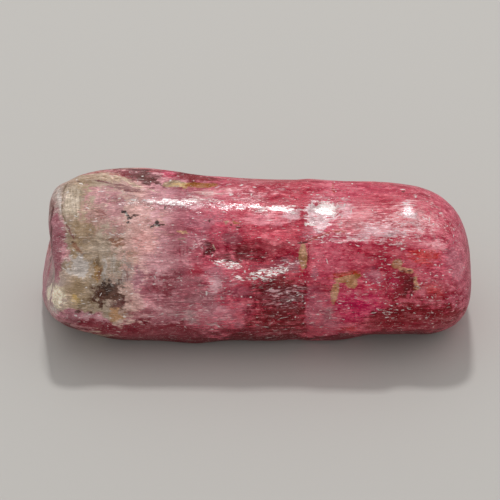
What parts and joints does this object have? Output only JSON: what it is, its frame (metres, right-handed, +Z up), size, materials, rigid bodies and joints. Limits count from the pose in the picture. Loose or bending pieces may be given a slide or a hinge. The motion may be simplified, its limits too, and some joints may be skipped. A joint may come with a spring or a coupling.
{
  "type": "rough tourmaline crystal",
  "caption": "Water-worn prism of pink-red tourmaline with rounded edges, a dished broken end, a ring-shaped old break and chips, lying on its flattest side.",
  "frame": {"origin": "on the surface it lies on, under the middle of its bounding box", "axes": "+X along the crystal towards its rounded end, -Y towards the side seen in the picture, +Z up from the flat it rests on"},
  "size_m": [0.02, 0.0082, 0.0072],
  "materials": {
    "tourmaline": "water-worn, half glossy, with fine scuffs"
  },
  "bodies": {
    "root": {"tourmaline_crystal": "tourmaline"}
  },
  "joints": []
}
